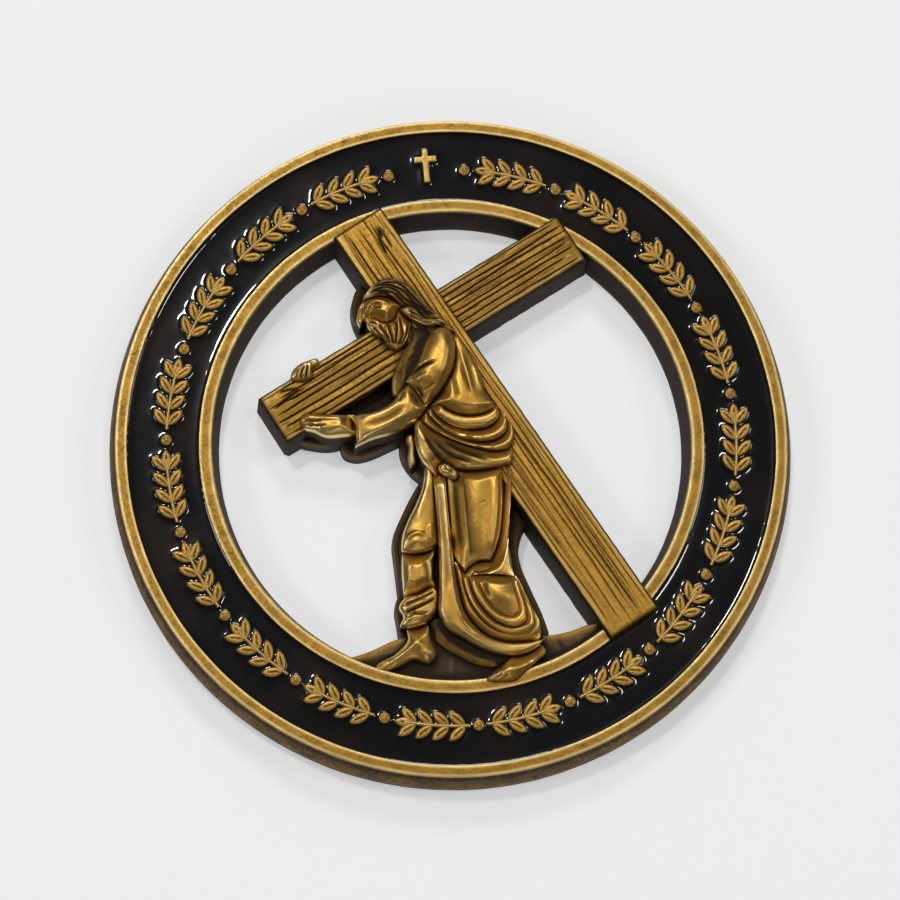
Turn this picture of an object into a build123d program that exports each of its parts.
"""Cut-out challenge coin: an enamelled ring round a robed figure who carries a cross.

The coin lies on its back. The origin is on the ring's axis at the back face, +Z points out
of the front and +Y points to the top of the design. All sizes are in millimetres.
"""
import os
from math import atan2, cos, degrees, hypot, radians, sin, tan

from build123d import *

# Ring
coin_radius = 22.225
outer_rim_inner_radius = 20.99
inner_rim_outer_radius = 16.37
outer_face_radius = 21.74
inner_face_radius = 15.48
hole_radius = 15.10
ring_thickness = 3.0
back_recess = 0.35
band_floor = 2.2
enamel_top = 2.72
rim_land = 1.15
hole_land = 0.6
rim_edge = 0.14

# Cross
upright_top = 3.55
crossbeam_top = 3.35
upright_centre = (2.84, 1.13)
upright_size = (31.9, 3.62)
upright_angle = -61.2
crossbeam_start = (-11.40, 2.38)
crossbeam_end = (9.05, 12.99)
crossbeam_width = 3.42
beam_draft = 4.0
beam_edge = 0.12

# Figure and ground
web_top = 1.9
mound_top = 2.4
sculpt_top = 4.75
smallest_figure_solid = 0.3

# Border ornament
border_radius = 18.45
cross_gap_angle = 7.4
sprays_per_side = 9
leaf_pairs = 4
stem_share = 0.68
spray_start = 0.09
bead_place = 0.98
leaf_length = 1.5
leaf_width = 0.66
leaf_angle = 40.0
stem_width = 0.26
bead_radius = 0.38
border_cross_height = 2.3
border_cross_span = 1.55
border_cross_bar = 0.46
border_cross_centre = 18.75


def lathe(profile):
    """Turn a closed radius-height profile about the coin's axis."""
    points = [(radius, 0, height) for radius, height in profile]
    face = make_face(Polyline(*points, close=True))
    return revolve(face, Axis.Z, 360)


def outline(*runs):
    """Close a face from runs of points: two points are a line, more are a smooth curve."""
    edges = []
    for run in runs:
        edges.append(Line(*run) if len(run) == 2 else Spline(*run))
    return make_face(edges)


def smooth_loop(*points):
    """Close a face with one smooth curve through all its points."""
    return make_face(Spline(*points, periodic=True))


def slab(face, low, high):
    """Raise a face from one height to another."""
    return extrude(Pos(0, 0, low) * face, high - low)


def largest(shape, smallest_volume=0.02):
    """Keep the solids of a cut shape that are big enough to cast."""
    return [solid for solid in shape.solids() if solid.volume > smallest_volume]


# ---- ring ----------------------------------------------------------------------------------

def make_outer_rim():
    """The outer rim: a short upright land at its foot, then a wall that leans in to the face."""
    profile = [
        (outer_rim_inner_radius, 0),
        (coin_radius - rim_edge, 0),
        (coin_radius, rim_edge),
        (coin_radius, rim_land),
        (outer_face_radius + rim_edge / 2, ring_thickness - rim_edge),
        (outer_face_radius - rim_edge / 2, ring_thickness),
        (outer_rim_inner_radius, ring_thickness),
    ]
    return lathe(profile)


def make_inner_rim():
    """The inner rim, whose hole widens from the back to the face."""
    profile = [
        (hole_radius, rim_edge),
        (hole_radius + rim_edge, 0),
        (inner_rim_outer_radius, 0),
        (inner_rim_outer_radius, ring_thickness),
        (inner_face_radius + rim_edge / 2, ring_thickness),
        (inner_face_radius - rim_edge / 2, ring_thickness - rim_edge),
        (hole_radius, hole_land),
    ]
    return lathe(profile)


def make_ring_envelope():
    """Everything that the bare ring fills, its back recess included."""
    profile = [
        (inner_rim_outer_radius, 0),
        (coin_radius, 0),
        (coin_radius, band_floor),
        (inner_rim_outer_radius, band_floor),
    ]
    return lathe(profile)


def make_ring_web():
    profile = [
        (inner_rim_outer_radius, back_recess),
        (outer_rim_inner_radius, back_recess),
        (outer_rim_inner_radius, band_floor),
        (inner_rim_outer_radius, band_floor),
    ]
    return lathe(profile)


# ---- border ornament -----------------------------------------------------------------------

def leaf_face(length, width):
    """A pointed leaf from its foot at the origin along +X."""
    upper = ThreePointArc((0, 0), (length / 2, width / 2), (length, 0))
    lower = ThreePointArc((length, 0), (length / 2, -width / 2), (0, 0))
    return make_face([upper, lower])


def make_spray(span):
    """One leafy sprig that starts at angle zero and grows anticlockwise over the span."""
    stem_end = span * stem_share
    inner = border_radius - stem_width / 2
    outer = border_radius + stem_width / 2
    ring = Circle(outer) - Circle(inner)
    reach = outer * 2
    wedge = make_face(Polyline(
        (0, 0),
        (reach, 0),
        (reach * cos(radians(stem_end)), reach * sin(radians(stem_end))),
        close=True,
    ))
    spray = ring & wedge
    for index in range(leaf_pairs):
        angle = stem_end * (index + 0.25) / leaf_pairs
        for side in (1, -1):
            turn = 90 - side * leaf_angle
            place = Rot(0, 0, angle) * Pos(border_radius, 0) * Rot(0, 0, turn)
            spray += place * leaf_face(leaf_length, leaf_width)
    tip_angle = stem_end - degrees(0.5 * leaf_length / border_radius)
    tip = Rot(0, 0, tip_angle) * Pos(border_radius, 0) * Rot(0, 0, 90)
    spray += tip * leaf_face(leaf_length, leaf_width)
    return slab(spray, band_floor, ring_thickness)


def spray_pitch():
    return (180 - cross_gap_angle) / sprays_per_side


def make_border_sprays():
    """Two garlands of sprigs that rise from the bottom of the coin to the small cross."""
    spray = make_spray(spray_pitch())
    sprays = []
    for index in range(sprays_per_side):
        right = Rot(0, 0, -90 + (index + spray_start) * spray_pitch()) * spray
        sprays.append(right)
        sprays.append(mirror(right, about=Plane.YZ))
    return sprays


def make_border_beads():
    """A round bead ahead of every sprig and one at the foot of the two garlands."""
    bead = slab(Circle(bead_radius), band_floor, ring_thickness)
    beads = []
    for index in range(sprays_per_side):
        angle = -90 + (index + bead_place) * spray_pitch()
        for side in (1, -1):
            x = side * border_radius * cos(radians(angle))
            beads.append(Pos(x, border_radius * sin(radians(angle)), 0) * bead)
    beads.append(Pos(0, -border_radius, 0) * bead)
    return beads


def make_border_cross():
    """A small plain cross with its arms above the middle."""
    post = Rectangle(border_cross_bar, border_cross_height)
    arm = Pos(0, border_cross_height * 0.2) * Rectangle(border_cross_span, border_cross_bar)
    return slab(Pos(0, border_cross_centre) * (post + arm), band_floor, ring_thickness)


def make_enamel(ring_parts):
    """The black filling between the rims, with the ornament standing through it."""
    profile = [
        (inner_rim_outer_radius, band_floor),
        (outer_rim_inner_radius, band_floor),
        (outer_rim_inner_radius, enamel_top),
        (inner_rim_outer_radius, enamel_top),
    ]
    return lathe(profile) - ring_parts


# ---- cross ---------------------------------------------------------------------------------

def beam(centre, length, width, angle, top):
    """A squared beam whose sides draft in towards its top face."""
    flare = 2 * top * tan(radians(beam_draft))
    foot = Pos(*centre) * Rot(0, 0, angle) * Rectangle(length + flare, width + flare)
    body = extrude(foot, top, taper=beam_draft)
    rim = body.faces().sort_by(Axis.Z)[-1].edges()
    return chamfer(rim, beam_edge)


def crossbeam_angle():
    rise = crossbeam_end[1] - crossbeam_start[1]
    return degrees(atan2(rise, crossbeam_end[0] - crossbeam_start[0]))


def make_upright():
    length, width = upright_size
    return beam(upright_centre, length, width, upright_angle, upright_top)


def make_crossbeam():
    run = crossbeam_end[0] - crossbeam_start[0]
    rise = crossbeam_end[1] - crossbeam_start[1]
    middle = (crossbeam_start[0] + run / 2, crossbeam_start[1] + rise / 2)
    return beam(middle, hypot(run, rise), crossbeam_width, crossbeam_angle(), crossbeam_top)


# ---- ground and backing --------------------------------------------------------------------

def make_mound():
    """The low rise that the figure walks on, filling the foot of the opening."""
    crest = Spline(
        (-7.75, -13.32), (-6.5, -13.05), (-5.0, -12.5), (-2.0, -12.1),
        (2.0, -12.4), (5.0, -12.98), (6.4, -12.85), (7.75, -12.5), (9.0, -12.55),
    )
    left, right = (-7.75, -13.32), (9.0, -12.55)
    floor_y = -inner_rim_outer_radius * 1.1
    sides = Polyline(right, (9.0, floor_y), (-7.75, floor_y), left)
    face = make_face([crest, sides]) & Circle(inner_rim_outer_radius)
    return slab(face, 0, mound_top)


def make_figure_web():
    """The cast plate behind the figure: head, arm and leg silhouettes with a small margin."""
    body = outline(
        [(-1.0, 11.5), (-3.9, 12.0), (-5.2, 11.1), (-5.6, 10.2), (-5.66, 9.4), (-5.5, 8.6), (-5.0, 7.6)],
        [(-5.0, 7.6), (-3.2, 0.8)],
        [(-3.2, 0.8), (-3.25, -0.2), (-2.95, -1.0), (-2.5, -1.6), (-2.1, -1.95)],
        [(-2.1, -1.95), (-2.9, -3.05), (-3.65, -4.3), (-4.2, -5.4), (-4.35, -6.2)],
        [(-4.35, -6.2), (-4.3, -7.6), (-4.25, -9.4)],
        [(-4.25, -9.4), (-4.55, -10.3), (-4.5, -11.2), (-4.45, -12.0), (-4.3, -12.9)],
        [(-4.3, -12.9), (-6.6, -14.1), (-4.0, -14.9), (0.5, -16.0), (3.2, -15.8), (5.05, -14.4)],
        [(5.05, -14.4), (5.1, -12.7)],
        [(5.1, -12.7), (4.8, -11.5), (4.25, -9.9), (3.75, -8.3), (3.65, -7.5), (4.1, -5.8)],
        [(4.1, -5.8), (6.0, -3.0)],
        [(6.0, -3.0), (-1.0, 11.5)],
    )
    arm = outline(
        [(-4.6, 5.4), (-8.6, 3.6), (-10.2, 2.4)],
        [(-10.2, 2.4), (-9.95, 1.35), (-8.9, 0.9), (-7.9, 0.74), (-7.1, 0.85)],
        [(-7.1, 0.85), (-6.9, 0.15), (-6.3, -0.12), (-5.3, -0.02), (-4.2, 0.36), (-2.9, 0.85)],
        [(-2.9, 0.85), (-1.0, 3.0), (-4.6, 5.4)],
    )
    return slab(body + arm, 0, web_top)


# ---- figure, listed from the frontmost piece to the rearmost --------------------------------

def sleeve_upper():
    return outline(
        [(-1.9, 3.1), (-2.25, 3.65), (-2.65, 4.05)],
        [(-2.65, 4.05), (-2.0, 5.0), (-1.5, 6.0), (-1.1, 6.8), (-0.6, 7.35), (0.05, 7.52),
         (0.55, 7.2), (0.76, 6.5), (0.74, 5.7), (0.4, 4.5), (-0.15, 3.65), (-0.8, 3.0), (-1.6, 2.5)],
        [(-1.6, 2.5), (-1.9, 3.1)],
    )


def sleeve_forearm():
    return outline(
        [(-6.5, 2.15), (-5.5, 2.22), (-4.5, 2.42), (-3.7, 2.85), (-3.1, 3.45), (-2.5, 3.95),
         (-1.7, 4.3), (-0.7, 3.9), (-0.7, 3.1)],
        [(-0.7, 3.1), (-1.5, 2.25), (-2.1, 1.6), (-3.0, 1.12), (-4.0, 0.76), (-5.2, 0.5), (-6.3, 0.08)],
        [(-6.3, 0.08), (-6.15, 0.8), (-6.2, 1.5), (-6.5, 2.15)],
    )


def near_hand():
    return smooth_loop(
        (-6.0, 2.1), (-7.2, 2.32), (-8.3, 2.42), (-9.3, 2.52), (-9.7, 2.2), (-9.5, 1.62),
        (-8.9, 1.38), (-8.1, 0.96), (-7.3, 0.9), (-6.1, 1.1),
    )


def far_hand():
    return smooth_loop(
        (-10.05, 4.95), (-9.95, 5.4), (-9.5, 5.85), (-8.9, 6.08), (-8.2, 6.15), (-8.1, 5.95),
        (-8.62, 5.5), (-8.6, 5.0), (-9.0, 4.8), (-9.6, 4.78),
    )


def hair_lock():
    return outline(
        [(-2.6, 8.9), (-2.1, 9.05), (-1.6, 8.85), (-1.15, 8.2), (-0.5, 8.1), (0.1, 8.0),
         (0.45, 7.55), (0.85, 7.1)],
        [(0.85, 7.1), (0.3, 7.35), (-0.2, 7.62), (-1.0, 7.66), (-1.6, 7.9), (-2.0, 8.25), (-2.6, 8.9)],
    )


def hair_crown():
    return outline(
        [(-5.0, 9.55), (-4.85, 10.0), (-4.3, 10.6), (-3.4, 11.0), (-2.5, 10.9), (-1.8, 10.45),
         (-1.4, 9.75), (-0.9, 9.1), (0.0, 8.15)],
        [(0.0, 8.15), (-0.9, 8.3), (-1.5, 8.7), (-2.1, 8.75), (-2.5, 8.95)],
        [(-2.5, 8.95), (-2.95, 9.4), (-3.8, 9.72), (-5.0, 9.55)],
    )


def hair_far():
    return smooth_loop(
        (-4.9, 9.6), (-5.22, 9.2), (-5.4, 8.7), (-5.3, 8.3), (-5.1, 8.35), (-4.95, 8.9),
    )


def beard():
    return smooth_loop(
        (-4.55, 8.1), (-4.45, 7.5), (-3.95, 7.15), (-3.6, 6.6), (-3.05, 6.3), (-2.45, 6.7),
        (-2.05, 7.6), (-1.95, 8.4), (-2.5, 8.9), (-3.0, 8.4), (-3.8, 8.12),
    )


def head():
    return smooth_loop(
        (-4.95, 9.5), (-5.0, 9.0), (-5.12, 8.62), (-4.85, 8.35), (-4.8, 8.05), (-4.3, 7.7), (-3.4, 7.6),
        (-2.5, 8.0), (-2.1, 8.9), (-2.6, 9.7), (-3.8, 9.95),
    )


def robe_front():
    return outline(
        [(-2.1, 7.8), (-2.15, 6.9), (-2.6, 6.2), (-3.0, 5.5), (-3.38, 4.8), (-3.55, 3.3)],
        [(-3.55, 3.3), (-2.6, 3.3)],
        [(-2.6, 3.3), (-1.6, 5.0), (-0.8, 6.6), (-0.9, 7.6)],
        [(-0.9, 7.6), (-2.1, 7.8)],
    )


def torso():
    return outline(
        [(0.95, 6.95), (1.4, 6.15), (1.95, 5.0), (2.28, 3.9), (2.42, 2.9), (2.95, 2.1), (3.05, 1.3)],
        [(3.05, 1.3), (1.9, 1.0), (0.6, 1.2), (-0.5, 1.6), (-2.0, 2.0)],
        [(-2.0, 2.0), (-1.6, 2.9), (-0.6, 3.6), (0.2, 4.6), (0.5, 6.0), (0.6, 6.9)],
        [(0.6, 6.9), (0.95, 6.95)],
    )


def waist_fold_top():
    return outline(
        [(-1.15, 2.2), (-0.7, 2.35), (-0.2, 1.95), (0.6, 1.55), (1.6, 1.4), (2.5, 1.6), (3.05, 2.0)],
        [(3.05, 2.0), (3.1, 1.3), (2.6, 0.8), (1.7, 0.6), (0.7, 0.72), (-0.1, 1.05), (-0.7, 1.55),
         (-1.15, 2.2)],
    )


def waist_fold_middle():
    return outline(
        [(-1.5, 2.1), (-1.15, 2.2), (-0.6, 1.5), (0.1, 0.9), (1.2, 0.6), (2.4, 0.7), (3.1, 1.2), (3.2, 1.85)],
        [(3.2, 1.85), (3.58, 1.2), (3.45, 0.3), (2.8, -0.15), (1.9, -0.25), (0.9, 0.0), (-0.1, 0.5),
         (-0.9, 1.2), (-1.5, 2.1)],
    )


def waist_fold_low():
    return outline(
        [(-2.0, 1.8), (-1.5, 2.1), (-0.9, 1.2), (0.0, 0.4), (1.2, -0.1), (2.6, -0.2), (3.4, 0.3), (3.5, 1.4)],
        [(3.5, 1.4), (3.92, 0.6), (3.95, -0.2), (3.6, -0.75), (2.8, -0.9), (1.6, -0.62), (0.5, -0.2),
         (-0.6, 0.4), (-1.4, 1.0), (-2.0, 1.8)],
    )


def hip_wrap():
    return outline(
        [(-2.3, 1.3), (-1.8, 1.9), (-1.0, 1.2), (0.0, 0.2), (1.6, -0.5), (3.75, -0.6)],
        [(3.75, -0.6), (3.78, -1.2), (3.65, -1.85)],
        [(3.65, -1.85), (2.7, -1.96), (1.7, -2.05), (0.6, -2.0), (-0.3, -1.8), (-1.3, -2.2)],
        [(-1.3, -2.2), (-1.7, -1.65), (-2.15, -1.05), (-2.36, -0.2), (-2.3, 1.3)],
    )


def sash_tail():
    return smooth_loop(
        (-1.1, -1.75), (-0.7, -1.55), (-0.25, -1.8), (0.1, -2.3), (-0.05, -2.6), (-0.5, -2.42),
        (-0.95, -2.15),
    )


def front_drape():
    return smooth_loop(
        (-2.9, 0.6), (-2.6, 0.75), (-2.42, 0.3), (-2.5, -0.6), (-2.55, -1.25), (-2.78, -1.4),
        (-2.92, -0.8), (-2.82, 0.0),
    )


def skirt_front():
    return outline(
        [(-1.42, -1.6), (-1.45, -4.0), (-1.52, -7.0), (-1.72, -9.6), (-1.86, -11.2), (-1.5, -12.1),
         (-0.5, -12.85), (0.7, -13.65), (2.0, -14.15), (3.2, -14.2), (4.2, -13.8), (4.68, -13.35)],
        [(4.68, -13.35), (3.5, -13.5), (2.2, -13.4), (1.1, -12.95), (0.3, -12.2), (-0.25, -11.3),
         (-0.55, -9.8), (-0.66, -7.5), (-0.7, -5.0), (-0.7, -1.6)],
        [(-0.7, -1.6), (-1.42, -1.6)],
    )


def skirt_thigh():
    return outline(
        [(-0.52, -1.6), (-0.55, -5.0), (-0.5, -7.6), (0.0, -8.6)],
        [(0.0, -8.6), (0.6, -8.1), (1.7, -8.0)],
        [(1.7, -8.0), (2.3, -6.8), (2.75, -4.8), (2.95, -3.0), (3.0, -1.6)],
        [(3.0, -1.6), (-0.52, -1.6)],
    )


def skirt_back():
    return outline(
        [(3.62, -1.6), (3.52, -3.2), (3.2, -5.2), (2.97, -7.2), (3.0, -8.6), (3.1, -9.2)],
        [(3.1, -9.2), (1.2, -8.9), (0.4, -8.9)],
        [(0.4, -8.9), (1.7, -7.6), (2.3, -6.2), (2.7, -4.4), (2.85, -1.6)],
        [(2.85, -1.6), (3.62, -1.6)],
    )


def knee_gather():
    return smooth_loop(
        (0.45, -8.3), (0.9, -8.02), (1.6, -8.1), (1.85, -8.3), (1.4, -8.62), (0.8, -8.68),
    )


def calf_panel():
    return outline(
        [(2.95, -6.9), (3.02, -8.2), (3.1, -9.6), (3.28, -10.8), (3.22, -11.55), (2.85, -11.85),
         (2.2, -11.7), (1.5, -11.1), (1.0, -10.2), (0.6, -9.0)],
        [(0.6, -9.0), (0.7, -8.2), (1.6, -7.4), (2.95, -6.9)],
    )


def calf_fold_inner():
    return outline(
        [(0.25, -8.6), (0.35, -9.7), (0.9, -11.0), (1.9, -12.1), (2.95, -12.45), (3.55, -12.15),
         (3.65, -11.5), (3.4, -10.2), (3.08, -9.0)],
        [(3.08, -9.0), (0.25, -8.6)],
    )


def calf_fold_middle():
    return outline(
        [(-0.15, -8.2), (-0.1, -9.6), (0.45, -11.2), (1.5, -12.45), (2.85, -12.95), (3.8, -12.85),
         (4.1, -12.1), (3.75, -10.8), (3.2, -9.1)],
        [(3.2, -9.1), (-0.15, -8.2)],
    )


def calf_fold_outer():
    return outline(
        [(-0.62, -7.9), (-0.75, -9.4), (-0.35, -11.3), (0.6, -12.6), (1.9, -13.45), (3.6, -13.6),
         (4.4, -13.2), (4.45, -12.3), (4.05, -11.2), (3.35, -9.3)],
        [(3.35, -9.3), (-0.62, -7.9)],
    )


def far_thigh():
    return outline(
        [(-1.9, -1.2), (-2.2, -2.9), (-2.7, -3.9), (-3.3, -4.9), (-3.68, -5.7), (-3.88, -6.85)],
        [(-3.88, -6.85), (-2.9, -7.05), (-2.1, -6.9), (-1.3, -6.4)],
        [(-1.3, -6.4), (-1.3, -1.2)],
        [(-1.3, -1.2), (-1.9, -1.2)],
    )


def far_shin():
    return outline(
        [(-3.8, -6.6), (-3.97, -8.0), (-3.95, -10.2)],
        [(-3.95, -10.2), (-1.9, -10.0)],
        [(-1.9, -10.0), (-2.0, -8.4), (-1.7, -6.6)],
        [(-1.7, -6.6), (-3.8, -6.6)],
    )


def ankle_wrap():
    return smooth_loop(
        (-4.0, -9.95), (-4.38, -10.5), (-4.15, -11.1), (-4.4, -11.7), (-3.6, -11.85), (-2.7, -11.6),
        (-2.0, -10.9), (-1.75, -9.9), (-1.95, -9.4), (-3.0, -9.75),
    )


def far_foot():
    return smooth_loop(
        (-3.95, -11.6), (-4.0, -12.6), (-4.9, -13.45), (-6.2, -14.12), (-6.4, -14.38), (-5.6, -14.52),
        (-4.7, -14.3), (-3.7, -13.95), (-2.8, -14.25), (-2.25, -13.75), (-2.5, -12.7), (-2.75, -11.6),
    )


def near_foot():
    return smooth_loop(
        (4.5, -13.7), (4.72, -14.2), (4.2, -14.62), (3.3, -15.3), (2.6, -15.82), (1.5, -15.86),
        (0.75, -15.66), (1.5, -15.0), (2.5, -14.3), (3.6, -13.6),
    )


def back_hem():
    return outline(
        [(-2.4, -11.4), (-2.35, -12.6), (-1.7, -13.35), (-0.9, -13.9), (0.3, -14.6), (1.6, -14.85)],
        [(1.6, -14.85), (3.4, -13.6)],
        [(3.4, -13.6), (-1.2, -11.2)],
        [(-1.2, -11.2), (-2.4, -11.4)],
    )


# Each piece's plan and the height of its face, in the order in which one hides the next.
figure_pieces = [
    ("sash_tail", sash_tail, 4.35),
    ("sleeve_upper", sleeve_upper, sculpt_top),
    ("sleeve_forearm", sleeve_forearm, 4.35),
    ("near_hand", near_hand, 4.0),
    ("far_hand", far_hand, 3.95),
    ("hair_lock", hair_lock, 4.25),
    ("hair_crown", hair_crown, 4.5),
    ("beard", beard, 4.3),
    ("hair_far", hair_far, 3.95),
    ("head", head, 4.2),
    ("robe_front", robe_front, 3.6),
    ("waist_fold_top", waist_fold_top, 4.3),
    ("waist_fold_middle", waist_fold_middle, 4.2),
    ("waist_fold_low", waist_fold_low, 4.1),
    ("torso", torso, 4.15),
    ("hip_wrap", hip_wrap, 4.15),
    ("front_drape", front_drape, 3.4),
    ("skirt_front", skirt_front, 4.1),
    ("skirt_thigh", skirt_thigh, 4.2),
    ("knee_gather", knee_gather, 4.1),
    ("skirt_back", skirt_back, 3.9),
    ("calf_panel", calf_panel, 4.15),
    ("calf_fold_inner", calf_fold_inner, 4.05),
    ("calf_fold_middle", calf_fold_middle, 3.95),
    ("calf_fold_outer", calf_fold_outer, 3.85),
    ("far_thigh", far_thigh, 3.5),
    ("ankle_wrap", ankle_wrap, 3.6),
    ("far_shin", far_shin, 3.35),
    ("far_foot", far_foot, 3.5),
    ("near_foot", near_foot, 3.8),
    ("back_hem", back_hem, 2.9),
]


def make_figure(beams, ring):
    """Cast every figure piece on the backing, each one hidden where a nearer one stands."""
    nodes = {}
    nearer = []
    for name, plan, top in figure_pieces:
        face = plan()
        shown = face
        for other in nearer:
            shown = shown - other
        nearer.append(face)
        solid = slab(shown, web_top, top) - beams - ring
        nodes[name] = largest(solid, smallest_figure_solid)
    return nodes, nearer


def save(name, solids):
    """Write one node, as a single solid or as a group of separate ones."""
    shape = solids[0] if len(solids) == 1 else Compound(children=solids)
    shape.label = name
    export_step(shape, f"parts/{name}.step")


def main():
    os.makedirs("parts", exist_ok=True)
    outer_rim = make_outer_rim()
    inner_rim = make_inner_rim()
    ring_web = make_ring_web()
    ring = [outer_rim, inner_rim, make_ring_envelope()]
    upright = make_upright()
    crossbeam = make_crossbeam() - upright
    beams = [upright, crossbeam]
    sprays = make_border_sprays()
    beads = make_border_beads()
    border_cross = make_border_cross()
    mound = make_mound()
    web = make_figure_web() - beams - mound - ring
    figure, plans = make_figure(beams, ring)
    for plan in plans:
        mound = mound - slab(plan, web_top, mound_top)
    mound = mound - upright - inner_rim
    enamel = make_enamel(beams + sprays + beads + [border_cross])

    save("outer_rim", outer_rim.solids())
    save("inner_rim", inner_rim.solids())
    save("ring_web", ring_web.solids())
    save("enamel_band", largest(enamel))
    save("border_sprays", [solid for spray in sprays for solid in spray.solids()])
    save("border_beads", [solid for bead in beads for solid in bead.solids()])
    save("border_cross", border_cross.solids())
    save("cross_upright", largest(upright - ring))
    arms = largest(crossbeam - ring, 1.0)
    arms.sort(key=lambda arm: arm.center().X)
    save("cross_arm_left", arms[:1])
    save("cross_arm_right", arms[1:])
    save("ground_mound", largest(mound))
    save("figure_web", largest(web))
    for name, solids in figure.items():
        save(name, solids)


if __name__ == "__main__":
    main()
